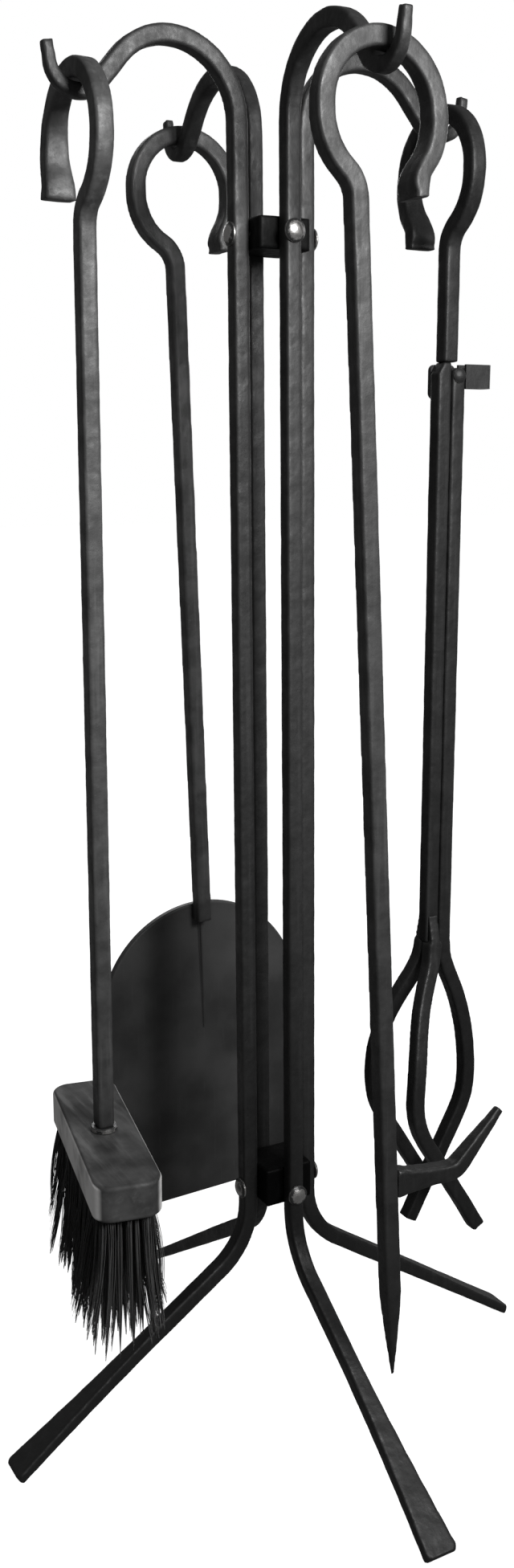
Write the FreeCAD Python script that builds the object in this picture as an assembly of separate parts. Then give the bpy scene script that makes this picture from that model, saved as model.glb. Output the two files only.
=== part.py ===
import FreeCAD, Part

import math
import os

from FreeCAD import Vector, Placement, Rotation

# Fireplace tool set: a four-legged stand of square iron bar with a brush, a shovel,
# a poker and a pair of log tongs hung on its four hooks by open crooks.
# Millimetres, +Z up, origin on the hearth in the middle of the four feet.
# The front arm points to -Y and carries the poker, the left arm to -X the brush,
# the right arm to +X the tongs and the rear arm to +Y the shovel.

# ---------------------------------------------------------------- stand
STAND_BAR = 9.5            # square bar of the stand
BAR_CORNER = 1.3           # rolled corner radius of every bar
POST_RADIUS = 20.6         # stand axis to the middle of each post
ARCH_SPRING_Z = 756.9      # where the post turns into the arch
ARCH_RADIUS = 38.4
ARCH_TURN = 139.2
ARM_SLOPE_RUN = 18.5       # straight run from the arch down to the hook
HOOK_RADIUS = 14.5
HOOK_TURN = 117.0
TIP_RADIUS = 12.0
TIP_TURN = 14.5
TIP_RUN = 10.0
TIP_BAR = 5.8              # the hook is drawn down to this at its tip
LEG_BEND_Z = 132.2         # where the post turns into the leg
LEG_BEND_RADIUS = 46.9
LEG_TURN = 56.2
LEG_RUN = 165.5
FOOT_RUN = 120.0           # length of leg that is forged flat
FOOT_WIDTH = 21.0
FOOT_THICKNESS = 6.0
FOOT_CORNER = 5.0
HOOK_S = 111.1             # stand axis to the lowest point of each hook

BLOCK_SIDE = 2 * POST_RADIUS - STAND_BAR
UPPER_BLOCK_Z = (692.5, 709.5)
LOWER_BLOCK_Z = (135.0, 158.5)

BOLT_DIAMETER = 6.0
BOLT_LENGTH = 20.0
BOLT_HEAD_DIAMETER = 12.4
BOLT_HEAD_HEIGHT = 3.2
BOLT_HEAD_RIM = 0.8
BLOCK_CHAMFER = 1.0
HOLE_CLEARANCE = 0.05
UPPER_BOLT_Z = 701.0
LOWER_BOLT_Z = 143.5

# ---------------------------------------------------------------- tools
TOOL_BAR = 10.0
LOOP_RADIUS = 31.6         # middle line of the crook's loop
LOOP_TOP_Z = 773.8         # middle line of the crook where it rests in the hook
LOOP_SIDE_RUN = 3.0        # short straight stretch down each side of the loop
NECK_RADIUS = 17.0         # reverse bend from the loop into the straight rod
END_RADIUS = 14.0          # reverse bend of the free end
END_RUN = 5.0
CROOK_STEP = 5.5           # spacing of the sections down the free side
CROOK_END_WIDTH = 18.0     # the free side is hammered out to this at its end
CROOK_END_THICKNESS = 8.6

BRUSH_LOOP_X = 1.0         # middle of the loop, from the hook it hangs on
BRUSH_ROD_X = -6.5         # middle of the rod, likewise
BRUSH_END_TURN = 25.0      # how far the free end turns in
SHOVEL_LOOP_X = 1.1
SHOVEL_ROD_X = -6.4
SHOVEL_END_TURN = 35.0
POKER_LOOP_X = -5.4
POKER_ROD_X = -19.9
POKER_END_TURN = 44.0
TONGS_LOOP_X = -2.5
TONGS_ROD_X = -12.5
TONGS_END_TURN = 43.0

BRUSH_TIP_Z = 199.0        # top of the brush head
BRUSH_HEAD_LENGTH = 138.0
BRUSH_HEAD_WIDTH = 39.5
BRUSH_HEAD_HEIGHT = 22.0
BRUSH_HEAD_YAW = -11.0     # the head is screwed on a little askew to the crook
BRUSH_CORNER = 11.0
BRUSH_RIM = 2.5            # rounding along the top and bottom of the head
BRISTLE_LENGTH = 84.0
BRISTLE_INSET = 4.0        # the bristles stand this far in from the sides of the head
WASHER_HEIGHT = 3.0
WASHER_DIAMETER = 15.6
WASHER_CHAMFER = 0.6
STUD_DIAMETER = 6.0
STUD_DEPTH = 14.0

PAN_WIDTH = 143.0
PAN_TOP_Z = 292.0
PAN_BOTTOM_Z = 80.5
PAN_ARCH_HEIGHT = 56.0
PAN_TAPER = 3.0            # each side comes in by this towards the lip
PAN_SHEET = 1.6
PAN_EDGE = 1.2             # rounding from the face into the rim
PAN_RIM = 4.5              # how far the rim stands back from the face of the pan
PAN_OVERLAP = 11.0         # the rod overlaps the pan by this
PLEAT_LENGTH = 78.0
PLEAT_WIDTH = 3.4
PLEAT_HEIGHT = 1.6
PLEAT_END_HEIGHT = 0.3

POKER_TIP_Z = 66.5
POINT_LENGTH = 54.0
POINT_SHARES = (0.78, 0.50, 0.16)     # of the full bar, evenly spaced to the tip
BARB_ROOT_Z = 187.0
BARB_DROOP = 6.0           # the barb leaves the shaft drooping by this angle
BARB_ROOT_RUN = 38.0
BARB_ROOT_DEPTH = 17.0     # drawn down to the bar within the root run
BARB_BAR = 9.8
BARB_BEND_RADIUS = 9.0
BARB_BEND_TURN = 47.0
BARB_RUN = 39.5
BARB_TIP = 5.0

HINGE_Z = 630.0
JAW_GAP = 0.5
TONGS_BAR = 9.4            # the arms are forged from slightly lighter bar
TONGS_STEM_SHIFT = -1.2    # the arms sit this far away from the stand, past the rod
ARM_BEND_Z = 284.0         # where the tines leave the straight arms
TINE_OUT_SHARE = 0.24      # share of the outward curve that bends outwards
FORK_BULGE = (24.0, 97.0)  # sideways and down, from the arm to the widest point
JAW_BULGE = (23.0, 97.0)
TINE_CROSS_RADIUS = 55.0
FORK_CROSS_TURN = 32.0
JAW_CROSS_TURN = 29.0
FRONT_RUN = 80.0
BACK_RUN = 64.0
JAW_RUN = 77.0
FORK_HALF_SPREAD = 24.0    # each fork tine to the middle of the tongs
FORK_SPREAD_DEPTH = 85.0   # the fork reaches that spread this far down
PULL_HEIGHT = 13.6
PULL_REACH = 19.5
PULL_STRAP = 1.8
PULL_DROP = 7.0            # lower edge of the pull loop, below the hinge
PULL_CORNER = 3.6
RIVET_DIAMETER = 5.0
RIVET_HEAD_DIAMETER = 8.6
RIVET_HEAD_HEIGHT = 2.0
PLATE_THICKNESS = 3.0
PLATE_GAP = 0.3            # hinge plate to the moving jaw
PLATE_UP = 6.5             # the plate reaches this far above the hinge
PLATE_DOWN = 13.0
PLATE_CORNER = 3.5
ARM_TOP = 7.5              # top of the fixed arm, above the hinge
SCARF_LENGTH = 18.0        # the fork tines are drawn up the arm by this to be welded
SCARF_END = 0.6

UP = Vector(0, 0, 1)


# ---------------------------------------------------------------- bent bars
class BentBar:
    """A path in the XZ plane made of runs and tangent arcs, with its sections."""

    def __init__(self, x, z, heading):
        self.x = x
        self.z = z
        self.heading = heading
        self.edges = []

    def point(self):
        return Vector(self.x, 0, self.z)

    def run(self, length):
        start = self.point()
        angle = math.radians(self.heading)
        self.x += length * math.cos(angle)
        self.z += length * math.sin(angle)
        self.edges.append(Part.LineSegment(start, self.point()).toShape())
        return self

    def turned(self, radius, turn):
        """The point and heading after a further turn, without moving."""
        side = math.copysign(1, turn)
        old = math.radians(self.heading)
        new = math.radians(self.heading + turn)
        x = self.x + side * radius * (math.sin(new) - math.sin(old))
        z = self.z - side * radius * (math.cos(new) - math.cos(old))
        return Vector(x, 0, z), self.heading + turn

    def bend(self, radius, turn):
        start = self.point()
        middle = self.turned(radius, turn / 2)[0]
        end, heading = self.turned(radius, turn)
        self.edges.append(Part.Arc(start, middle, end).toShape())
        self.x = end.x
        self.z = end.z
        self.heading = heading
        return self

    def section(self, width, thickness, corner=BAR_CORNER):
        return bar_section(self.point(), self.heading, width, thickness, corner)


def bar_section(centre, heading, width, thickness, corner):
    """A rounded rectangle across the path: width along Y, thickness in the XZ plane."""
    angle = math.radians(heading)
    across = Vector(0, 1, 0)
    normal = Vector(-math.sin(angle), 0, math.cos(angle))
    a = width / 2
    b = thickness / 2
    r = min(corner, 0.45 * min(width, thickness))
    k = r * (1 - math.sqrt(0.5))

    def at(u, v):
        return centre + across * u + normal * v

    edges = []
    for i, (su, sv) in enumerate(((1, 1), (-1, 1), (-1, -1), (1, -1))):
        first = at(su * a, sv * (b - r))
        last = at(su * (a - r), sv * b)
        if i % 2:
            first, last = last, first
        edges.append(Part.Arc(first, at(su * (a - k), sv * (b - k)), last).toShape())
        if i % 2:
            following = at(su * a, -sv * (b - r))
        else:
            following = at(-su * (a - r), sv * b)
        edges.append(Part.LineSegment(last, following).toShape())
    return Part.Wire(edges)


def swept(bar, section):
    return Part.Wire(bar.edges).makePipeShell([section], True, False)


def lofted(sections):
    return Part.makeLoft(sections, True, False)


def joined(*solids):
    shape = solids[0].fuse(list(solids[1:])).removeSplitter()
    return one_solid(shape)


def one_solid(shape):
    solids = shape.Solids
    if len(solids) != 1:
        raise ValueError("expected one solid, got %d" % len(solids))
    return solids[0]


def turned_about_z(shape, angle):
    copy = shape.copy()
    copy.rotate(Vector(0, 0, 0), UP, angle)
    return copy


def box(x0, x1, y0, y1, z0, z1):
    return Part.makeBox(x1 - x0, y1 - y0, z1 - z0, Vector(x0, y0, z0))


# ---------------------------------------------------------------- stand
def drawn_section(path, share):
    size = STAND_BAR + (TIP_BAR - STAND_BAR) * share ** 0.6
    return path.section(size, size)


def tapered_hook(path):
    """The hook and its tip, drawn down smoothly from the full bar."""
    bends = ((HOOK_RADIUS, HOOK_TURN, 9), (TIP_RADIUS, TIP_TURN, 1))
    run_steps = 3
    total = sum(math.radians(turn) * radius for radius, turn, _ in bends) + TIP_RUN
    sections = [path.section(STAND_BAR, STAND_BAR)]
    length = 0.0
    for radius, turn, steps in bends:
        for _ in range(steps):
            path.bend(radius, turn / steps)
            length += math.radians(turn / steps) * radius
            sections.append(drawn_section(path, length / total))
    for _ in range(run_steps):
        path.run(TIP_RUN / run_steps)
        length += TIP_RUN / run_steps
        sections.append(drawn_section(path, length / total))
    return lofted(sections)


def flattened_foot(path):
    """The end of the leg, spread and thinned towards a tip with rounded corners."""
    steps = 7
    sections = [path.section(STAND_BAR, STAND_BAR)]
    for i in range(1, steps + 1):
        path.run(FOOT_RUN / steps)
        t = i / steps
        width = STAND_BAR + (FOOT_WIDTH - STAND_BAR) * t ** 1.6
        thickness = STAND_BAR + (FOOT_THICKNESS - STAND_BAR) * t
        sections.append(path.section(width, thickness))
    foot = lofted(sections)
    limits = foot.BoundBox
    side = FOOT_WIDTH / 2
    plan = box(0, limits.XMax, -side, side, limits.ZMin - 1, limits.ZMax + 1)
    tip_edges = [e for e in plan.Edges if e.BoundBox.XMin > limits.XMax - 1
                 and abs(e.tangentAt(e.FirstParameter).z) > 0.9]
    return one_solid(foot.common(plan.makeFillet(FOOT_CORNER, tip_edges)))


def stand_bar():
    """One bar along +X: hook, arch, post, leg and foot, drilled for its two bolts."""
    upper = BentBar(POST_RADIUS, LEG_BEND_Z, 90)
    start = upper.section(STAND_BAR, STAND_BAR)
    upper.run(ARCH_SPRING_Z - LEG_BEND_Z)
    upper.bend(ARCH_RADIUS, -ARCH_TURN).run(ARM_SLOPE_RUN)
    post = swept(upper, start)
    hook = tapered_hook(upper)

    lower = BentBar(POST_RADIUS, LEG_BEND_Z, -90)
    start = lower.section(STAND_BAR, STAND_BAR)
    lower.bend(LEG_BEND_RADIUS, LEG_TURN).run(LEG_RUN - FOOT_RUN)
    leg = swept(lower, start)
    foot = flattened_foot(lower)

    bar = joined(post, hook, leg, foot)
    bar = one_solid(bar.cut(box(0, 300, -50, 50, -50, 0)))
    for z in (UPPER_BOLT_Z, LOWER_BOLT_Z):
        radius = BOLT_DIAMETER / 2 + HOLE_CLEARANCE
        drill = Part.makeCylinder(radius, 4 * STAND_BAR, Vector(0, 0, z), Vector(1, 0, 0))
        bar = bar.cut(drill)
    return one_solid(bar)


def spacer_block(z_range):
    """A square block between the four posts, tapped from its four sides."""
    half = BLOCK_SIDE / 2
    block = box(-half, half, -half, half, *z_range)
    edges = [e for e in block.Edges if abs(e.tangentAt(e.FirstParameter).z) > 0.9]
    block = block.makeChamfer(BLOCK_CHAMFER, edges)
    z = UPPER_BOLT_Z if z_range == UPPER_BLOCK_Z else LOWER_BOLT_Z
    depth = BOLT_LENGTH - STAND_BAR + 0.5
    for k in range(4):
        radius = BOLT_DIAMETER / 2 + HOLE_CLEARANCE
        drill = Part.makeCylinder(radius, depth, Vector(half - depth, 0, z), Vector(1, 0, 0))
        block = block.cut(turned_about_z(drill, 90 * k))
    return one_solid(block)


def spacer_bolt(z):
    """A domed bolt through the bar on +X, its head on the outer face."""
    face = POST_RADIUS + STAND_BAR / 2
    tip = face - BOLT_LENGTH
    shank = Part.makeCylinder(BOLT_DIAMETER / 2, BOLT_LENGTH, Vector(tip, 0, z), Vector(1, 0, 0))
    head_radius = BOLT_HEAD_DIAMETER / 2
    rise = BOLT_HEAD_HEIGHT - BOLT_HEAD_RIM
    ball_radius = (head_radius ** 2 + rise ** 2) / (2 * rise)
    ball = Part.makeSphere(ball_radius, Vector(face + BOLT_HEAD_HEIGHT - ball_radius, 0, z))
    disc = Part.makeCylinder(head_radius, BOLT_HEAD_HEIGHT, Vector(face, 0, z), Vector(1, 0, 0))
    return joined(shank, disc.common(ball))


def bolt_group(z):
    return Part.makeCompound([turned_about_z(spacer_bolt(z), 90 * k) for k in range(4)])


# ---------------------------------------------------------------- tools
def hammered_side(path, end_turn):
    """The free side of a crook, from the top of the loop, spread wide and thin to its end."""
    moves = ((LOOP_RADIUS, -90.0), (None, LOOP_SIDE_RUN), (LOOP_RADIUS, -end_turn),
             (END_RADIUS, end_turn), (None, END_RUN))
    lengths = [amount if radius is None else math.radians(abs(amount)) * radius
               for radius, amount in moves]
    sections = [path.section(TOOL_BAR, TOOL_BAR)]
    passed = 0.0
    for (radius, amount), length in zip(moves, lengths):
        steps = max(1, round(length / CROOK_STEP))
        for _ in range(steps):
            if radius is None:
                path.run(amount / steps)
            else:
                path.bend(radius, amount / steps)
            passed += length / steps
            if length < 0.6 * CROOK_STEP:
                continue
            share = (passed / sum(lengths)) ** 2
            width = TOOL_BAR + (CROOK_END_WIDTH - TOOL_BAR) * share
            thickness = TOOL_BAR + (CROOK_END_THICKNESS - TOOL_BAR) * share
            sections.append(path.section(width, thickness))
    return lofted(sections)


def crook_rod(bottom_z, loop_x, rod_x, end_turn):
    """A square rod with an open crook, in the tool's own XZ plane.

    The loop hangs round the hook at x = 0 with its middle at loop_x. The rod leaves it
    on the -X side and runs down at rod_x; the free end turns in on the +X side.
    """
    neck = math.degrees(math.acos((NECK_RADIUS + loop_x - rod_x) / (LOOP_RADIUS + NECK_RADIUS)))
    rod = BentBar(loop_x, LOOP_TOP_Z, 180)
    start = rod.section(TOOL_BAR, TOOL_BAR)
    rod.bend(LOOP_RADIUS, 90).run(LOOP_SIDE_RUN).bend(LOOP_RADIUS, neck)
    rod.bend(NECK_RADIUS, -neck)
    rod.run(rod.z - bottom_z)

    free_side = hammered_side(BentBar(loop_x, LOOP_TOP_Z, 0), end_turn)
    return joined(swept(rod, start), free_side)


class Hanging:
    """Where a tool hangs, the way its free end points in plan, and how far it leans.

    The height in hook is how far the crook stands above the level of the others, because
    a crook that hangs off the middle of its loop touches the hook sooner.
    """

    def __init__(self, hook, free_end, tilt):
        pivot = Vector(0, 0, LOOP_TOP_Z)
        tilting = Placement(Vector(), Rotation(Vector(0, 1, 0), -tilt), pivot)
        facing = Placement(hook, Rotation(UP, free_end))
        self.placement = facing.multiply(tilting)

    def place(self, shape):
        copy = shape.copy()
        copy.Placement = self.placement.multiply(copy.Placement)
        return copy


BRUSH = Hanging(Vector(-HOOK_S, 0, 0), 90, tilt=1.6)
SHOVEL = Hanging(Vector(0, HOOK_S, 0), 0, tilt=1.5)
POKER = Hanging(Vector(0, -HOOK_S, 0.8), 0, tilt=2.65)
TONGS = Hanging(Vector(HOOK_S, 0, 0.1), 90, tilt=0.6)


def brush_pieces():
    x = BRUSH_ROD_X
    handle = crook_rod(BRUSH_TIP_Z + WASHER_HEIGHT, BRUSH_LOOP_X, x, BRUSH_END_TURN)
    bore = Part.makeCylinder(STUD_DIAMETER / 2 + HOLE_CLEARANCE, STUD_DEPTH,
                             Vector(x, 0, BRUSH_TIP_Z + WASHER_HEIGHT))
    handle = one_solid(handle.cut(bore))

    stud = Part.makeCylinder(STUD_DIAMETER / 2, 2 * STUD_DEPTH + WASHER_HEIGHT - 1.0,
                             Vector(x, 0, BRUSH_TIP_Z - STUD_DEPTH + 0.5))
    foot = Vector(x, 0, BRUSH_TIP_Z)
    washer = Part.makeCylinder(WASHER_DIAMETER / 2, WASHER_HEIGHT, foot)
    washer = washer.makeChamfer(WASHER_CHAMFER, [e for e in washer.Edges if e.isClosed()])
    bore = Part.makeCylinder(STUD_DIAMETER / 2 + HOLE_CLEARANCE, WASHER_HEIGHT, foot)
    washer = one_solid(washer.cut(bore))

    half_length = BRUSH_HEAD_LENGTH / 2
    half_width = BRUSH_HEAD_WIDTH / 2
    base_z = BRUSH_TIP_Z - BRUSH_HEAD_HEIGHT
    head = box(x - half_length, x + half_length, -half_width, half_width, base_z, BRUSH_TIP_Z)
    upright = [e for e in head.Edges if abs(e.tangentAt(e.FirstParameter).z) > 0.9]
    head = head.makeFillet(BRUSH_CORNER, upright)
    rims = [e for e in head.Edges if abs(e.tangentAt(e.FirstParameter).z) < 0.1]
    head = head.makeFillet(BRUSH_RIM, rims)
    bore = Part.makeCylinder(STUD_DIAMETER / 2 + HOLE_CLEARANCE, STUD_DEPTH,
                             Vector(x, 0, BRUSH_TIP_Z - STUD_DEPTH))
    head = one_solid(head.cut(bore))

    inset = BRISTLE_INSET
    tip_z = base_z - BRISTLE_LENGTH
    bristles = box(x - half_length + inset, x + half_length - inset,
                   -half_width + inset, half_width - inset, tip_z, base_z)
    upright = [e for e in bristles.Edges if abs(e.tangentAt(e.FirstParameter).z) > 0.9]
    bristles = one_solid(bristles.makeFillet(BRUSH_CORNER - inset, upright))
    for shape in (head, bristles):
        shape.rotate(Vector(x, 0, 0), UP, BRUSH_HEAD_YAW)
    return {
        "brush_handle": handle,
        "brush_stud": stud,
        "brush_washer": washer,
        "brush_head": head,
        "brush_bristles": bristles,
    }


def pan_plate(x, inset):
    """The flat outline of the pan, straight below and arched above."""
    half = PAN_WIDTH / 2 - inset
    foot_half = half - PAN_TAPER
    bottom_z = PAN_BOTTOM_Z + inset
    shoulder_z = PAN_TOP_Z - PAN_ARCH_HEIGHT
    left = Vector(x - half, 0, shoulder_z)
    right = Vector(x + half, 0, shoulder_z)
    corners = (Vector(x + foot_half, 0, bottom_z), Vector(x - foot_half, 0, bottom_z))
    return Part.Face(Part.Wire([
        Part.Arc(left, Vector(x, 0, PAN_TOP_Z - inset), right).toShape(),
        Part.LineSegment(right, corners[0]).toShape(),
        Part.LineSegment(corners[0], corners[1]).toShape(),
        Part.LineSegment(corners[1], left).toShape(),
    ]))


def shovel_pieces():
    x = SHOVEL_ROD_X
    handle = crook_rod(PAN_TOP_Z - PAN_OVERLAP, SHOVEL_LOOP_X, x, SHOVEL_END_TURN)
    back_y = TOOL_BAR / 2 + 0.02
    pan = pan_plate(x, 0.0).extrude(Vector(0, PAN_RIM, 0))
    hollow = pan_plate(x, PAN_SHEET).extrude(Vector(0, PAN_RIM, 0))
    hollow.translate(Vector(0, PAN_SHEET, 0))
    pan = pan.cut(hollow)
    face_edges = [e for e in pan.Edges if e.BoundBox.YMax < 0.01]
    pan = pan.makeFillet(PAN_EDGE, face_edges)
    pan.translate(Vector(0, back_y, 0))
    pan = one_solid(pan)

    pleat_top = PAN_TOP_Z - PAN_OVERLAP - 0.5
    pleat_ends = []
    for z, height in ((pleat_top, PLEAT_HEIGHT), (pleat_top - PLEAT_LENGTH, PLEAT_END_HEIGHT)):
        left = Vector(x - PLEAT_WIDTH / 2, back_y + 0.5, z)
        right = Vector(x + PLEAT_WIDTH / 2, back_y + 0.5, z)
        ridge = Vector(x, back_y - height, z)
        pleat_ends.append(Part.makePolygon([left, ridge, right, left]))
    pan = joined(pan, Part.makeLoft(pleat_ends, True, True))
    return {"shovel_handle": handle, "shovel_pan": pan}


def poker_pieces():
    point_top = POKER_TIP_Z + POINT_LENGTH
    rod = crook_rod(point_top, POKER_LOOP_X, POKER_ROD_X, POKER_END_TURN)
    nose = BentBar(POKER_ROD_X, point_top, -90)
    sections = [nose.section(TOOL_BAR, TOOL_BAR)]
    for share in POINT_SHARES:
        nose.run(POINT_LENGTH / len(POINT_SHARES))
        sections.append(nose.section(TOOL_BAR * share, TOOL_BAR * share))
    shaft = joined(rod, lofted(sections))

    barb = BentBar(POKER_ROD_X + TOOL_BAR / 2 - 0.6, BARB_ROOT_Z, -BARB_DROOP)
    sections = [barb.section(BARB_BAR, BARB_ROOT_DEPTH)]
    root_steps = 5
    for i in range(1, root_steps + 1):
        depth = BARB_BAR + (BARB_ROOT_DEPTH - BARB_BAR) * (1 - i / root_steps) ** 2
        sections.append(barb.run(BARB_ROOT_RUN / root_steps).section(BARB_BAR, depth))
    for _ in range(2):
        sections.append(barb.bend(BARB_BEND_RADIUS, BARB_BEND_TURN / 2).section(BARB_BAR, BARB_BAR))
    tip_steps = 6
    for i in range(1, tip_steps + 1):
        size = BARB_BAR + (BARB_TIP - BARB_BAR) * i / tip_steps
        sections.append(barb.run(BARB_RUN / tip_steps).section(size, size))
    horn = lofted(sections)
    horn = one_solid(horn.cut(shaft))
    return {"poker_shaft": shaft, "poker_barb": horn}


def tine(start_x, bulge, cross_turn, end_run, spread):
    """A tine: out to one side of its arm, back across the other, and off front or back."""
    side = math.copysign(1, start_x)
    wide, drop = bulge
    turn = 2 * math.degrees(math.atan2(wide, drop))
    radius = drop / math.sin(math.radians(turn))
    out_radius = TINE_OUT_SHARE * radius
    back_radius = radius - out_radius
    path = BentBar(start_x, ARM_BEND_Z, -90)
    sections = [path.section(TONGS_BAR, TONGS_BAR)]
    offsets = [0.0]
    moves = [(out_radius, side * turn, 2), (back_radius, -side * turn, 5)]
    moves += [(TINE_CROSS_RADIUS, -side * cross_turn, 3), (None, end_run, 5)]
    for bend_radius, amount, steps in moves:
        for _ in range(steps):
            if bend_radius is None:
                path.run(amount / steps)
            else:
                path.bend(bend_radius, amount / steps)
            sections.append(path.section(TONGS_BAR, TONGS_BAR))
            share = min(1.0, (ARM_BEND_Z - path.z) / FORK_SPREAD_DEPTH)
            offsets.append(share * share * (3 - 2 * share))
    near = math.copysign(TONGS_BAR / 2, spread) if spread else 0.0
    for section, share in zip(sections, offsets):
        section.translate(Vector(0, near + (spread - near) * share, 0))
    return lofted(sections)


def tongs_pieces():
    x = TONGS_ROD_X
    handle = crook_rod(HINGE_Z + ARM_TOP, TONGS_LOOP_X, x, TONGS_END_TURN)
    arm_x = (TONGS_BAR + JAW_GAP) / 2
    half = TONGS_BAR / 2

    # fixed arm, its top cut on a slant under the handle
    top = HINGE_Z + ARM_TOP
    arm = BentBar(-arm_x, top, -90)
    start = arm.section(TONGS_BAR, TONGS_BAR)
    fixed = swept(arm.run(top - ARM_BEND_Z), start)
    high = Vector(-arm_x, -20, top + 1.0)
    low = Vector(-arm_x - half - 1.0, -20, top - 8.0)
    corner = Vector(low.x, -20, high.z)
    slant = Part.Face(Part.makePolygon([low, high, corner, low]))
    fixed = one_solid(fixed.cut(slant.extrude(Vector(0, 40, 0))))

    # two fork tines welded to the foot of the fixed arm, spreading front and back
    tines = {}
    for name, face, run in (("tongs_front_tine", -1, FRONT_RUN), ("tongs_back_tine", 1, BACK_RUN)):
        shape = tine(-arm_x, FORK_BULGE, FORK_CROSS_TURN, run, face * FORK_HALF_SPREAD)
        keep = box(-200, 200, min(0, face * 200), max(0, face * 200), 0, HINGE_Z)
        outer_x = -arm_x + half - BAR_CORNER
        scarf = Part.Face(Part.makePolygon([
            Vector(outer_x, face * half, ARM_BEND_Z),
            Vector(outer_x, face * TONGS_BAR, ARM_BEND_Z),
            Vector(outer_x, face * (half + SCARF_END), ARM_BEND_Z + SCARF_LENGTH),
            Vector(outer_x, face * half, ARM_BEND_Z + SCARF_LENGTH),
            Vector(outer_x, face * half, ARM_BEND_Z),
        ])).extrude(Vector(2 * BAR_CORNER - TONGS_BAR, 0, 0))
        tines[name] = joined(shape.common(keep), scarf)

    # moving jaw, its top rounded about the hinge
    jaw_arm = BentBar(arm_x, HINGE_Z, -90)
    section = jaw_arm.section(TONGS_BAR, TONGS_BAR)
    straight = swept(jaw_arm.run(HINGE_Z - ARM_BEND_Z), section)
    curve = tine(arm_x, JAW_BULGE, JAW_CROSS_TURN, JAW_RUN, 0.0)
    axis = Vector(0, 1, 0)
    knuckle = Part.makeCylinder(half, TONGS_BAR, Vector(arm_x, -half, HINGE_Z), axis)
    bore = Part.makeCylinder(RIVET_DIAMETER / 2 + HOLE_CLEARANCE, 40,
                             Vector(arm_x, -20, HINGE_Z), axis)
    jaw = one_solid(joined(straight, curve, knuckle).cut(bore))

    # hinge plate behind both arms, and the rivet through plate and jaw
    plate_y = half + PLATE_GAP
    plate = box(-arm_x - half + 1, arm_x + half - 1, plate_y, plate_y + PLATE_THICKNESS,
                HINGE_Z - PLATE_DOWN, HINGE_Z + PLATE_UP)
    upright = [e for e in plate.Edges if abs(e.tangentAt(e.FirstParameter).y) > 0.9]
    plate = plate.makeFillet(PLATE_CORNER, upright)
    weld = box(-arm_x - half / 2, -arm_x + half / 2, half, plate_y + 0.1,
               HINGE_Z - PLATE_DOWN + 2, HINGE_Z + PLATE_UP / 2)
    plate = one_solid(joined(plate, weld).cut(bore))
    rivet_y = -half - PLATE_GAP
    rivet = Part.makeCylinder(RIVET_DIAMETER / 2, plate_y + PLATE_THICKNESS - rivet_y,
                              Vector(arm_x, rivet_y, HINGE_Z), axis)
    heads = []
    for y, face in ((rivet_y, -1), (plate_y + PLATE_THICKNESS, 1)):
        ball_radius = 1.3 * RIVET_HEAD_DIAMETER / 2
        centre = Vector(arm_x, y + face * (RIVET_HEAD_HEIGHT - ball_radius), HINGE_Z)
        ball = Part.makeSphere(ball_radius, centre)
        low = Vector(arm_x, min(y, y + face * RIVET_HEAD_HEIGHT), HINGE_Z)
        disc = Part.makeCylinder(RIVET_HEAD_DIAMETER / 2, RIVET_HEAD_HEIGHT, low, axis)
        heads.append(disc.common(ball))
    rivet = joined(rivet, *heads)

    # finger loop of flat strap on the outer side of the jaw
    outer_x = arm_x + half
    reach = PULL_REACH
    loop_z = HINGE_Z - PULL_DROP
    loop = box(outer_x, outer_x + reach, -half, half, loop_z, loop_z + PULL_HEIGHT)
    corners = [e for e in loop.Edges
               if abs(e.tangentAt(e.FirstParameter).z) > 0.9 and e.CenterOfMass.x > outer_x + 1]
    loop = loop.makeFillet(PULL_CORNER, corners)
    hollow = box(outer_x - 1, outer_x + reach - PULL_STRAP, PULL_STRAP - half, half - PULL_STRAP,
                 loop_z - 1, loop_z + PULL_HEIGHT + 1)
    loop = one_solid(loop.cut(hollow))

    turned = Placement(Vector(x, TONGS_STEM_SHIFT, 0), Rotation(UP, -90))
    stem = TONGS.placement.multiply(turned)
    pieces = dict(tines)
    pieces["tongs_fixed_arm"] = fixed
    pieces["tongs_jaw"] = jaw
    pieces["tongs_hinge_plate"] = plate
    pieces["tongs_hinge_rivet"] = rivet
    pieces["tongs_pull_loop"] = loop
    for shape in pieces.values():
        shape.Placement = turned.multiply(shape.Placement)
    pieces["tongs_handle"] = handle
    hinge = stem.multVec(Vector(arm_x, 0, HINGE_Z))
    hinge_axis = stem.Rotation.multVec(Vector(0, 1, 0))
    print("tongs hinge at", [round(v, 3) for v in hinge], [round(v, 5) for v in hinge_axis])
    return pieces


# ---------------------------------------------------------------- the set
def build():
    pieces = {}
    bar = stand_bar()
    for k, name in enumerate(("right", "rear", "left", "front")):
        pieces["stand_bar_" + name] = turned_about_z(bar, 90 * k)
    pieces["upper_spacer_block"] = spacer_block(UPPER_BLOCK_Z)
    pieces["lower_spacer_block"] = spacer_block(LOWER_BLOCK_Z)
    pieces["upper_block_bolts"] = bolt_group(UPPER_BOLT_Z)
    pieces["lower_block_bolts"] = bolt_group(LOWER_BOLT_Z)
    tools = ((BRUSH, brush_pieces()), (SHOVEL, shovel_pieces()),
             (POKER, poker_pieces()), (TONGS, tongs_pieces()))
    for hanging, made in tools:
        for name, shape in made.items():
            pieces[name] = hanging.place(shape)
    return pieces


def main():
    os.makedirs("parts", exist_ok=True)
    for name, shape in build().items():
        if not shape.isValid():
            raise ValueError(name + " is not valid")
        shape.exportStep(os.path.join("parts", name + ".step"))
        print("%-22s %9.1f mm3" % (name, shape.Volume))


main()
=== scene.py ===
import math

import bpy
import numpy as np
from mathutils import Matrix, Vector


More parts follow.
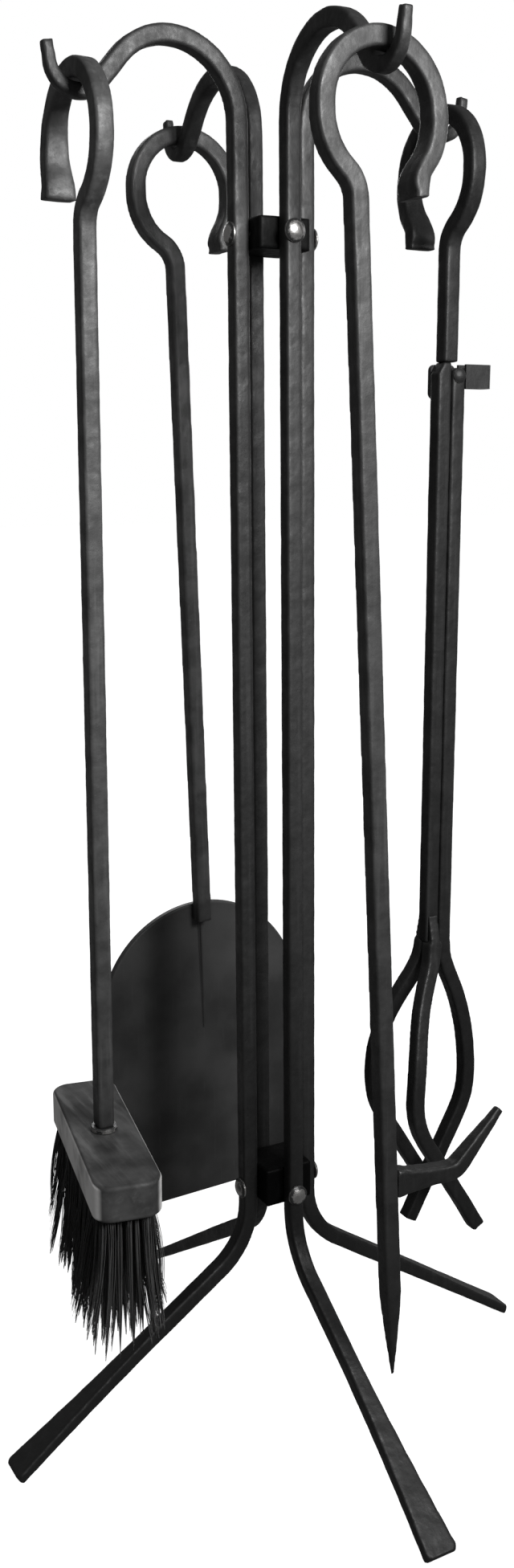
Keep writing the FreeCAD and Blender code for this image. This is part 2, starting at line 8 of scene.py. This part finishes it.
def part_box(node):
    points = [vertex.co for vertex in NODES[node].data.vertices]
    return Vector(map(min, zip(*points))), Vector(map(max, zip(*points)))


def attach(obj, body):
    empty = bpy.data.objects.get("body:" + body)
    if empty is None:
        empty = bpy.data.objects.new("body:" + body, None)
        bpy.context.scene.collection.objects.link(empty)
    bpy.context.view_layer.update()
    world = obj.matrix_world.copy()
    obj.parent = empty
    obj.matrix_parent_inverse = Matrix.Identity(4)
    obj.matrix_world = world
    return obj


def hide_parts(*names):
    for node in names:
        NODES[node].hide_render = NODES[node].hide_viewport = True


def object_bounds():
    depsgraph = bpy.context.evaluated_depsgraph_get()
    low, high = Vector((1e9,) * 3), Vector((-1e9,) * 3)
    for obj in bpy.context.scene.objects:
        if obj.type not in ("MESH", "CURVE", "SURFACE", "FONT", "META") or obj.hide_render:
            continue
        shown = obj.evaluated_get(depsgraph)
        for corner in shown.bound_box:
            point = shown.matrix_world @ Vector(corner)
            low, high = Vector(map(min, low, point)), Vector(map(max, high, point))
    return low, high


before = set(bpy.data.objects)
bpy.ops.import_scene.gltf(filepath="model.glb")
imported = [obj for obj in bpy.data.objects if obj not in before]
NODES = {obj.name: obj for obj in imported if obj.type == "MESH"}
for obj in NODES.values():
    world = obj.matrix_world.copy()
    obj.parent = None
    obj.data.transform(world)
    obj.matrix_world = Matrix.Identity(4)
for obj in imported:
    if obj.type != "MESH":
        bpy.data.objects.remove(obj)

MM = 0.001
CAD_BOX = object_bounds()
MIDDLE = (CAD_BOX[0] + CAD_BOX[1]) / 2

# camera, seen from the front left and a little above the middle
CAMERA_DISTANCE = 0.8343
CAMERA_AZIMUTH = -29.53                   # about the stand, from straight in front
CAMERA_HEIGHT = 0.5752
CAMERA_AIM = (-28.823, 77.878, -0.495)    # turn about Z, tilt, roll
CAMERA_LENS = 33.22
CAMERA_NEAR = 0.01
CAMERA_FAR = 100

# light: how bright the world looks, and how much light it gives
WORLD_SEEN = 1.0
WORLD_FILL = 0.13
FLOOR_SIZE = 30.0
FLOOR_DROP = 0.2 * MM
FLOOR_GLOW = 1.0
LAMPS = (
    # name, place, diameter, power, height aimed at
    ("key", (0.14, -0.98, 0.98), 0.45, 14.5, 0.66),
    ("side_fill", (1.6, 0.5, 0.9), 0.9, 5.0, 0.5),
    ("back_fill", (0.5, 1.9, 1.2), 1.0, 7.0, 0.5),
)

# pieces of iron that share one paint
UPRIGHTS = ["stand_bar_front", "stand_bar_rear", "stand_bar_left", "stand_bar_right"]
PAINTED_LIGHT_RODS = ["brush_handle", "shovel_handle"]
POKER_RODS = ["poker_shaft"]
TONGS_RODS = ["tongs_handle", "tongs_fixed_arm", "tongs_jaw"]
BLOCKS = ["upper_spacer_block", "lower_spacer_block"]
FORKED_IRON = ["poker_barb", "tongs_front_tine", "tongs_back_tine"]
PLATE_IRON = ["tongs_hinge_plate", "tongs_pull_loop", "tongs_hinge_rivet"]
BOLTS = ["upper_block_bolts", "lower_block_bolts", "brush_washer", "brush_stud"]
# painted light and shade: each group gets the same black paint at its own level of grey, lighter on the brush
# and shovel handles and the poker, nearly black on the spacer blocks sitting in shade between the uprights
IRON_PAINTS = (
    # material, nodes, how far its streaks run, level of grey (painted light and shade), gloss
    ("stand_iron", UPRIGHTS, 30, 0.028, 0.5),
    ("painted_light_rod_iron", PAINTED_LIGHT_RODS, 24, 0.064, 0.5),
    ("painted_light_poker_iron", POKER_RODS, 24, 0.040, 0.5),
    ("tongs_iron", TONGS_RODS, 24, 0.018, 0.35),
    ("painted_shade_block_iron", BLOCKS, 6, 0.005, 0.08),
    ("small_iron", FORKED_IRON + PLATE_IRON, 6, 0.020, 0.5),
)

# shades of each material; those of iron are shares of its level of grey
IRON = {"dark": 0.62, "pale": 1.25, "streak": 2.3, "edge": 4.2, "speck": 3.0}
# the sheet's darkest shade is painted shade along the pan's rim and in its folds
SHEET = {"dark": 0.024, "pale": 0.055, "scuff": 0.06, "crease_and_rim_shade": 0.003}
BOLT = {"paint": 0.02, "bare": 0.55}
# the wood's rubbed shade is painted light down the long sides of the head and wear round its rim
WOOD = {"dark": 0.022, "pale": 0.070, "grain": 0.11, "band": 0.02, "rubbed": 0.85}
FIBRE = {"dark": 0.018, "pale": 0.055, "tip": 0.14}
PAPER = {"dark": 0.30, "pale": 0.32}

# painted shade on the iron: darker towards the bottom and fading out upwards, for the light falling off lower
# down
PAINTED_SHADE_LOW = 0.06
PAINTED_SHADE_HIGH = 0.44
PAINTED_SHADE_BOTTOM = 0.26                         # share of the paint's brightness left at the bottom

# how far the normal bends between the start of an edge and its middle
EDGE_START = 0.01
EDGE_FULL = 0.12
BEVEL_SAMPLES = 6

# hammered surface of the forged bar
FORGED_VOXEL = 1.0 * MM
CORNER_WEAR = 0.5
CORNER_PASSES = 3
HAMMER_SPACING = 9.0 * MM
HAMMER_DEPTH = 0.35 * MM
HAMMER_LAYERS = (
    # texture, spacing, depth
    ("hammer_marks", HAMMER_SPACING, HAMMER_DEPTH),
    ("scale", 2.4 * MM, HAMMER_DEPTH * 0.25),
)
DENT_SPACING = HAMMER_SPACING * 0.8
DENT_DEPTH = 0.35 * MM

# single fibres
STRAND_RINGS = 8
STRAND_SIDES = 3
STRAND_RADIUS = 0.27 * MM
STRAND_TAPER = 0.7
STRAND_TURN_POWER = 1.8                   # the higher, the later a fibre turns off sideways

# tufts of fibre; places under the head run from -1 to 1
TUFTS_LONG = 26
TUFTS_WIDE = 7
STRANDS_PER_TUFT = 24
ROWS_LONG = 0.96
ROWS_WIDE = 0.94
CORNER_LONG = 0.93                        # tufts past both of these are left out
CORNER_WIDE = 0.8
OUTER_START = 0.6
OUTER_RUN = 0.4
TUFT_SHORTFALL = 0.05
OUTER_SHORTFALL = 0.2
STRAND_SHORTFALL = 0.2
FIBRE_REACH = 1.09                        # the longest fibres against the depth of the plain block
ROOT_DEPTH = 1.0 * MM
TUFT_SPREAD = 0.9
TUFT_LEAN = 2.6
TUFT_CLOSING = 0.8
TUFT_BOW = 0.5
SPLAY_LONG = 3.0 * MM
SPLAY_WIDE = 8.0 * MM

# loose locks along the long sides
LOCKS = 46
STRANDS_PER_LOCK = 12
LOCK_FLARE = 2.4
LOCK_DRIFT = 2.5
LOCK_CURL = 1.6
LOCK_BELLY = 1.2 * MM
BRISTLE_SEED = 7


class Surface:
    """A Principled material, with short ways to add and wire its nodes."""

    def __init__(self, name, **constants):
        self.material = bpy.data.materials.new(name)
        self.material.use_nodes = True
        self.tree = self.material.node_tree
        self.shader = self.tree.nodes["Principled BSDF"]
        for socket, value in constants.items():
            self.shader.inputs[socket.replace("_", " ")].default_value = value
        self.place = self.add("ShaderNodeTexCoord").outputs["Object"]
        self.facing = self.add("ShaderNodeNewGeometry").outputs["Normal"]

    def add(self, kind, inputs=None, **properties):
        node = self.tree.nodes.new(kind)
        for key, value in properties.items():
            setattr(node, key, value)
        for socket, value in (inputs or {}).items():
            self.feed(node.inputs[socket], value)
        return node

    def feed(self, socket, value):
        if isinstance(value, bpy.types.NodeSocket):
            self.tree.links.new(value, socket)
        else:
            socket.default_value = value

    def noise(self, size, detail=4.0, stretch=(1, 1, 1), roughness=0.55):
        """Noise with features about size metres across, drawn out along the larger stretches."""
        scale = [1 / s for s in stretch]
        mapping = self.add("ShaderNodeMapping", {"Vector": self.place, "Scale": scale})
        return self.add("ShaderNodeTexNoise", {
            "Vector": mapping.outputs["Vector"], "Scale": 0.5 / size,
            "Detail": detail, "Roughness": roughness}).outputs["Fac"]

    def dents(self, size):
        """Shallow round dents, size metres apart."""
        return self.add("ShaderNodeTexVoronoi", {
            "Vector": self.place, "Scale": 1 / size, "Smoothness": 1.0},
            feature="SMOOTH_F1").outputs["Distance"]

    def height(self):
        return self.add("ShaderNodeSeparateXYZ", {"Vector": self.place}).outputs["Z"]

    def remap(self, value, start, end, low=0.0, high=1.0):
        return self.add("ShaderNodeMapRange", {
            "Value": value, "From Min": start, "From Max": end,
            "To Min": low, "To Max": high}, interpolation_type="SMOOTHSTEP").outputs["Result"]

    def maths(self, operation, first, second=0.0):
        node = self.add("ShaderNodeMath", operation=operation)
        self.feed(node.inputs[0], first)
        self.feed(node.inputs[1], second)
        return node.outputs["Value"]

    def blend(self, share, first, second):
        """Colour from first to second as share goes from 0 to 1."""
        node = self.add("ShaderNodeMix", data_type="RGBA")
        colours = [s for s in node.inputs if s.type == "RGBA"]
        self.feed(node.inputs["Factor"], share)
        self.feed(colours[0], first)
        self.feed(colours[1], second)
        return next(s for s in node.outputs if s.type == "RGBA")

    def edges(self, radius):
        """1 along edges and creases, within about radius metres of them, and 0 on flats."""
        rounded = self.add("ShaderNodeBevel", {"Radius": radius}, samples=BEVEL_SAMPLES).outputs["Normal"]
        dot = self.add("ShaderNodeVectorMath", operation="DOT_PRODUCT")
        self.feed(dot.inputs[0], rounded)
        self.feed(dot.inputs[1], self.facing)
        away = self.maths("SUBTRACT", 1.0, dot.outputs["Value"])
        return self.remap(away, EDGE_START, EDGE_FULL)

    def towards(self, direction):
        """How squarely the surface faces a direction of the object's own frame, from -1 to 1."""
        dot = self.add("ShaderNodeVectorMath", operation="DOT_PRODUCT")
        self.feed(dot.inputs[0], self.add("ShaderNodeTexCoord").outputs["Normal"])
        self.feed(dot.inputs[1], direction)
        return dot.outputs["Value"]

    def relief(self, *layers):
        """Bump from (height, distance in metres) layers, one over the other."""
        normal = None
        for height, distance in layers:
            inputs = {"Height": height, "Distance": distance, "Strength": 1.0}
            if normal is not None:
                inputs["Normal"] = normal
            normal = self.add("ShaderNodeBump", inputs).outputs["Normal"]
        self.feed(self.shader.inputs["Normal"], normal)

    def finish(self, colour, roughness, metal=None):
        self.feed(self.shader.inputs["Base Color"], colour)
        self.feed(self.shader.inputs["Roughness"], roughness)
        if metal is not None:
            self.feed(self.shader.inputs["Metallic"], metal)
        return self.material


def grey(level, warmth=0.0):
    return (level * (1 + warmth), level, level * (1 - warmth), 1.0)


def forged_iron(name, stretch, level, gloss):
    """Satin black paint over scaly forged bar, rubbed lighter along its edges, with painted shade darkening
    it towards the bottom.
    """
    s = Surface(name, Specular_IOR_Level=gloss)
    shade = {part: share * level for part, share in IRON.items()}
    mottle = s.noise(7 * MM, detail=6.0)
    streaks = s.noise(2.2 * MM, detail=3.0, stretch=stretch)
    scale = s.noise(1.3 * MM, detail=5.0, roughness=0.7)
    patch = s.remap(mottle, 0.35, 0.7)
    colour = s.blend(patch, grey(shade["dark"]), grey(shade["pale"]))
    colour = s.blend(s.remap(streaks, 0.5, 0.8, 0.0, 0.6), colour, grey(shade["streak"]))
    rubbed = s.maths("MULTIPLY", s.edges(0.9 * MM), s.remap(scale, 0.35, 0.65))
    colour = s.blend(s.maths("MULTIPLY", rubbed, 0.75), colour, grey(shade["edge"], 0.01))
    specks = s.remap(scale, 0.66, 0.74, 0.0, 0.5)
    colour = s.blend(specks, colour, grey(shade["speck"]))
    # painted shade: the paint darkens towards the bottom, standing in for the light falling off there
    unshaded_share = s.remap(s.height(), PAINTED_SHADE_LOW, PAINTED_SHADE_HIGH, PAINTED_SHADE_BOTTOM, 1.0)
    colour = s.blend(unshaded_share, grey(0.0), colour)
    satin = s.remap(mottle, 0.3, 0.7, 0.5, 0.36)
    roughness = s.maths("ADD", satin, s.remap(scale, 0.3, 0.7, 0.12, 0.0))
    s.relief((s.dents(DENT_SPACING), DENT_DEPTH), (mottle, 0.5 * MM), (scale, 0.10 * MM))
    return s.finish(colour, roughness)


def pressed_sheet(name):
    """Satin black paint on pressed sheet, scuffed by scraping, with painted shade darkening its folds and
    rim.
    """
    s = Surface(name, Specular_IOR_Level=0.4)
    cloud = s.noise(32 * MM, detail=4.0)
    scuffs = s.noise(1.2 * MM, detail=3.0, stretch=(1, 1, 14))
    grain = s.noise(0.8 * MM, detail=4.0, roughness=0.7)
    colour = s.blend(s.remap(cloud, 0.35, 0.7), grey(SHEET["dark"]), grey(SHEET["pale"]))
    colour = s.blend(s.remap(scuffs, 0.58, 0.8, 0.0, 0.4), colour, grey(SHEET["scuff"]))
    # painted shade: edges and creases are darkened, as shade falls along the rim and in the folds
    crease_and_rim_shade = s.maths("MULTIPLY", s.edges(1.8 * MM), s.remap(grain, 0.2, 0.5, 0.6, 1.0))
    colour = s.blend(crease_and_rim_shade, colour, grey(SHEET["crease_and_rim_shade"]))
    roughness = s.remap(cloud, 0.3, 0.7, 0.42, 0.56)
    s.relief((cloud, 1.2 * MM), (grain, 0.05 * MM))
    return s.finish(colour, roughness)


def worn_bolt(name):
    """Black painted steel, rubbed bright on the crown of each head."""
    s = Surface(name, Specular_IOR_Level=0.5)
    grain = s.noise(0.9 * MM, detail=5.0, roughness=0.7)
    sideways = [s.maths("ABSOLUTE", s.towards(axis)) for axis in ((1, 0, 0), (0, 1, 0))]
    crown = s.remap(s.maths("MAXIMUM", *sideways), 0.72, 0.98)
    bare = s.remap(s.maths("ADD", s.maths("MULTIPLY", crown, 0.55), grain), 0.72, 0.98)
    bare = s.maths("MAXIMUM", bare, s.maths("MULTIPLY", s.edges(0.5 * MM), 0.6))
    colour = s.blend(bare, grey(BOLT["paint"]), grey(BOLT["bare"], 0.02))
    s.relief((grain, 0.12 * MM))
    return s.finish(colour, s.remap(grain, 0.3, 0.7, 0.42, 0.26), bare)


def stained_wood(name, grain_stretch, lit_side_direction):
    """Charcoal-stained hardwood with painted light making its long sides pale, and rubbed pale round its rim.
    """
    s = Surface(name, Specular_IOR_Level=0.35)
    grain = s.noise(0.8 * MM, detail=5.0, stretch=grain_stretch)
    bands = s.noise(4 * MM, detail=3.0, stretch=grain_stretch)
    cloud = s.noise(14 * MM, detail=4.0)
    colour = s.blend(s.remap(cloud, 0.35, 0.7), grey(WOOD["dark"]), grey(WOOD["pale"]))
    colour = s.blend(s.remap(grain, 0.5, 0.75, 0.0, 0.5), colour, grey(WOOD["grain"]))
    colour = s.blend(s.remap(bands, 0.55, 0.75, 0.0, 0.3), colour, grey(WOOD["band"]))
    # painted light: the long sides are made pale, as they look lit from the side; the same pale colour round
    # the rim is wear
    side = s.remap(s.maths("ABSOLUTE", s.towards(lit_side_direction)), 0.6, 0.9)
    worn = s.maths("MULTIPLY", side, s.remap(cloud, 0.3, 0.6, 0.5, 1.0))
    rim = s.maths("MULTIPLY", s.edges(1.6 * MM), s.remap(grain, 0.45, 0.7, 0.0, 0.35))
    colour = s.blend(s.maths("MAXIMUM", worn, rim), colour, grey(WOOD["rubbed"], 0.01))
    s.relief((bands, 0.25 * MM), (grain, 0.18 * MM))
    return s.finish(colour, s.remap(grain, 0.3, 0.7, 0.75, 0.55))


def stiff_fibre(name, tip_z):
    """Black fibre, greying towards the tips, which hang down to about tip_z."""
    s = Surface(name, Specular_IOR_Level=0.4, Sheen_Weight=0.15)
    end = s.remap(s.height(), tip_z + 25 * MM, tip_z)
    shade = s.noise(3 * MM, detail=3.0, stretch=(1, 1, 8))
    fine = s.noise(0.6 * MM, detail=2.0, stretch=(1, 1, 12))
    colour = s.blend(s.remap(shade, 0.35, 0.7), grey(FIBRE["dark"]), grey(FIBRE["pale"]))
    greyed = s.maths("MULTIPLY", end, s.remap(fine, 0.35, 0.6))
    colour = s.blend(greyed, colour, grey(FIBRE["tip"], 0.02))
    s.relief((fine, 0.05 * MM))
    return s.finish(colour, s.remap(shade, 0.3, 0.7, 0.45, 0.65))


def cover(names, material):
    for name in names:
        for slot in NODES[name].material_slots:
            slot.material = material


def forge(name):
    """Gives a bar soft, slightly uneven hammered faces."""
    node = NODES[name]
    even = node.modifiers.new("even_mesh", "REMESH")
    even.mode = "VOXEL"
    even.voxel_size = FORGED_VOXEL
    even.use_smooth_shade = True
    worn = node.modifiers.new("worn_corners", "SMOOTH")
    worn.factor = CORNER_WEAR
    worn.iterations = CORNER_PASSES
    for label, spacing, depth in HAMMER_LAYERS:
        texture = bpy.data.textures.get(label) or bpy.data.textures.new(label, "CLOUDS")
        texture.noise_scale = spacing
        texture.noise_depth = 2
        marks = node.modifiers.new(label, "DISPLACE")
        marks.texture = texture
        marks.texture_coords = "LOCAL"
        marks.mid_level = 0.5
        marks.strength = depth


def own_axes(name):
    """A node's centre, its axes from the longest to the shortest, and its half sizes along them."""
    points = np.array([v.co for v in NODES[name].data.vertices], float)
    centre = (points.max(0) + points.min(0)) / 2
    axes = np.linalg.svd(points - points.mean(0), full_matrices=False)[2]
    reach = (points - centre) @ axes.T
    centre = centre + axes.T @ ((reach.max(0) + reach.min(0)) / 2)
    return centre, axes, (reach.max(0) - reach.min(0)) / 2


def mesh_piece(name, points, faces, material):
    data = bpy.data.meshes.new(name)
    data.from_pydata(points.tolist(), [], faces)
    data.materials.append(material)
    data.shade_smooth()
    piece = bpy.data.objects.new(name, data)
    bpy.context.scene.collection.objects.link(piece)
    return piece


def strands(name, roots, drop, lateral, bow, radius, material):
    """Thin tapered fibres: each falls by drop, turns off by lateral towards its tip and bows between."""
    count = len(roots)
    share = np.linspace(0, 1, STRAND_RINGS)
    weights = (share, share ** STRAND_TURN_POWER, 4 * share * (1 - share))
    down, off, swing = (w[None, :, None] for w in weights)
    line = roots[:, None] + drop[:, None] * down + lateral[:, None] * off + bow[:, None] * swing
    along = drop / np.linalg.norm(drop, axis=1)[:, None]
    across = np.cross(along, [0.31, 0.95, 0.05])    # any direction well off the fibre's own
    across /= np.linalg.norm(across, axis=1)[:, None]
    third = np.cross(along, across)
    turn = np.arange(STRAND_SIDES) * math.tau / STRAND_SIDES
    ring = across[:, None] * np.cos(turn)[None, :, None] + third[:, None] * np.sin(turn)[None, :, None]
    width = radius[:, None] * (1 - STRAND_TAPER * share[None, :] ** 2)
    points = line[:, :, None] + ring[:, None] * width[:, :, None, None]
    index = np.arange(count * STRAND_RINGS * STRAND_SIDES).reshape(count, STRAND_RINGS, STRAND_SIDES)
    after = np.roll(index, -1, axis=2)
    walls = np.stack([index[:, :-1], after[:, :-1], after[:, 1:], index[:, 1:]], axis=-1).reshape(-1, 4)
    ends = np.concatenate([index[:, 0, ::-1], index[:, -1]])
    faces = walls.tolist() + ends.tolist()
    return mesh_piece(name, points.reshape(-1, 3), faces, material)


def bristle_mass(material):
    """Tufts set in rows under the head, gathered into ragged points, with loose locks at the sides."""
    random = np.random.default_rng(BRISTLE_SEED)
    centre, (long_axis, down, wide_axis), (half_long, half_deep, half_wide) = own_axes("brush_bristles")
    down = down * -np.sign(down[2])
    depth = 2 * half_deep
    top = centre - down * (half_deep + ROOT_DEPTH)

    def across(along, wide):
        return along[:, None] * long_axis + wide[:, None] * wide_axis

    def tuft(values):
        return np.repeat(values, STRANDS_PER_TUFT, axis=0)

    def lock(values):
        return np.repeat(values, STRANDS_PER_LOCK, axis=0)

    grid_u, grid_v = np.meshgrid(
        np.linspace(-1, 1, TUFTS_LONG), np.linspace(-1, 1, TUFTS_WIDE), indexing="ij")
    stagger = np.where(np.arange(TUFTS_WIDE) % 2, 0.5, -0.5)[None, :] / TUFTS_LONG
    grid_u = grid_u * ROWS_LONG + stagger
    inside = (np.abs(grid_u) < CORNER_LONG) | (np.abs(grid_v) < CORNER_WIDE)
    tuft_u, tuft_v = grid_u[inside], grid_v[inside] * ROWS_WIDE
    outer = np.clip(np.maximum(np.abs(tuft_u), np.abs(tuft_v)) - OUTER_START, 0, 1) / OUTER_RUN
    tuft_length = 1 - random.uniform(0, TUFT_SHORTFALL + OUTER_SHORTFALL * outer)
    gather = random.normal(0, 1, (len(tuft_u), 2)) * MM

    u, v, shift = tuft(tuft_u), tuft(tuft_v), tuft(gather)
    count = len(u)
    reach = FIBRE_REACH * depth * tuft(tuft_length) * (1 - STRAND_SHORTFALL * random.random(count) ** 2.5)
    loose = random.normal(0, 1, (count, 4)) * MM
    roots = top + across(u * half_long + loose[:, 0] * TUFT_SPREAD,
                         v * half_wide + loose[:, 1] * TUFT_SPREAD)
    lateral = across(u * SPLAY_LONG + shift[:, 0] * TUFT_LEAN - loose[:, 0] * TUFT_CLOSING,
                     v * SPLAY_WIDE + shift[:, 1] * TUFT_LEAN - loose[:, 1] * TUFT_CLOSING)
    bow = across(loose[:, 2] * TUFT_BOW, loose[:, 3] * TUFT_BOW)
    radius = STRAND_RADIUS * random.uniform(0.8, 1.2, count)
    mass = strands("bristle_tufts", roots, reach[:, None] * down, lateral, bow, radius, material)

    along = random.uniform(-0.95, 0.95, LOCKS)
    side = np.where(random.random(LOCKS) < 0.5, 1.0, -1.0)
    lock_reach = random.uniform(0.5, 1.0, LOCKS)
    flare = random.gamma(3.0, LOCK_FLARE, LOCKS) * MM
    drift = random.normal(0, LOCK_DRIFT, LOCKS) * MM
    curl = random.normal(0, LOCK_CURL, (LOCKS, 2)) * MM
    loose = random.normal(0, 1, (LOCKS * STRANDS_PER_LOCK, 3)) * MM
    roots = top + across(lock(along) * half_long + loose[:, 0] * 2.2,
                         lock(side) * half_wide * 0.9 + loose[:, 1] * 0.8)
    reach = depth * lock(lock_reach) * random.uniform(0.82, 1.0, len(roots))
    lateral = across(lock(drift) - loose[:, 0] * 1.7, lock(side * flare) - loose[:, 1] * 0.5)
    bow = across(lock(curl[:, 0]) + loose[:, 2] * 0.4, lock(curl[:, 1]) + lock(side) * LOCK_BELLY)
    radius = STRAND_RADIUS * random.uniform(0.9, 1.3, len(roots))
    strays = strands("bristle_strays", roots, reach[:, None] * down, lateral, bow, radius, material)
    return mass, strays


def studio():
    """Pale floor, soft key light from the front and weak fills."""
    world = bpy.data.worlds.new("studio")
    bpy.context.scene.world = world
    world.use_nodes = True
    tree = world.node_tree
    back = tree.nodes["Background"]
    back.inputs["Color"].default_value = (1, 1, 1, 1)
    rays = tree.nodes.new("ShaderNodeLightPath")
    level = tree.nodes.new("ShaderNodeMapRange")
    level.inputs["To Min"].default_value = WORLD_FILL
    level.inputs["To Max"].default_value = WORLD_SEEN
    tree.links.new(rays.outputs["Is Camera Ray"], level.inputs["Value"])
    tree.links.new(level.outputs["Result"], back.inputs["Strength"])

    paper = Surface("pale_floor", Specular_IOR_Level=0.1)
    tone = paper.noise(0.4, detail=2.0)
    paper.finish(paper.blend(tone, grey(PAPER["dark"]), grey(PAPER["pale"])), 0.9)
    paper.shader.inputs["Emission Color"].default_value = (1, 1, 1, 1)
    paper.shader.inputs["Emission Strength"].default_value = FLOOR_GLOW
    half = FLOOR_SIZE / 2
    outline = ((-half, -half), (half, -half), (half, half), (-half, half))
    corners = np.array([(x, y, -FLOOR_DROP) for x, y in outline])
    floor = mesh_piece("floor", corners, [(0, 1, 2, 3)], paper.material)
    floor.visible_diffuse = False
    floor.visible_glossy = False

    for name, place, size, power, aim_z in LAMPS:
        lamp = bpy.data.lights.new(name, "AREA")
        lamp.shape = "DISK"
        lamp.size = size
        lamp.energy = power
        holder = bpy.data.objects.new(name, lamp)
        bpy.context.scene.collection.objects.link(holder)
        holder.visible_camera = False
        holder.location = place
        aim = Vector((MIDDLE.x, MIDDLE.y, aim_z)) - Vector(place)
        holder.rotation_euler = aim.to_track_quat("-Z", "Y").to_euler()


def viewpoint():
    camera = bpy.data.cameras.new("camera")
    camera.lens = CAMERA_LENS
    camera.clip_start = CAMERA_NEAR
    camera.clip_end = CAMERA_FAR
    holder = bpy.data.objects.new("camera", camera)
    bpy.context.scene.collection.objects.link(holder)
    bearing = math.radians(CAMERA_AZIMUTH)
    place = Vector((math.sin(bearing) * CAMERA_DISTANCE, -math.cos(bearing) * CAMERA_DISTANCE, CAMERA_HEIGHT))
    turn, tilt, roll = (math.radians(a) for a in CAMERA_AIM)
    holder.matrix_world = (Matrix.Translation(place) @ Matrix.Rotation(turn, 4, "Z")
                           @ Matrix.Rotation(tilt, 4, "X") @ Matrix.Rotation(roll, 4, "Z"))
    bpy.context.scene.camera = holder


for paint, nodes, streak_run, level, gloss in IRON_PAINTS:
    cover(nodes, forged_iron(paint, (1, 1, streak_run), level, gloss))
cover(BOLTS, worn_bolt("worn_bolt"))
cover(["shovel_pan"], pressed_sheet("pressed_sheet"))
head_axes = own_axes("brush_head")[1]
cover(["brush_head"], stained_wood("stained_wood", (3, 30, 3), Vector(head_axes[1])))
for bar in UPRIGHTS + PAINTED_LIGHT_RODS + POKER_RODS + TONGS_RODS + BLOCKS + FORKED_IRON:
    forge(bar)

bristle_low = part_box("brush_bristles")[0]
bristle_pieces = bristle_mass(stiff_fibre("stiff_fibre", bristle_low.z))
for bristle_piece in bristle_pieces:
    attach(bristle_piece, "brush")
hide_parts("brush_bristles")

studio()
viewpoint()
bpy.context.scene.view_settings.view_transform = "Standard"
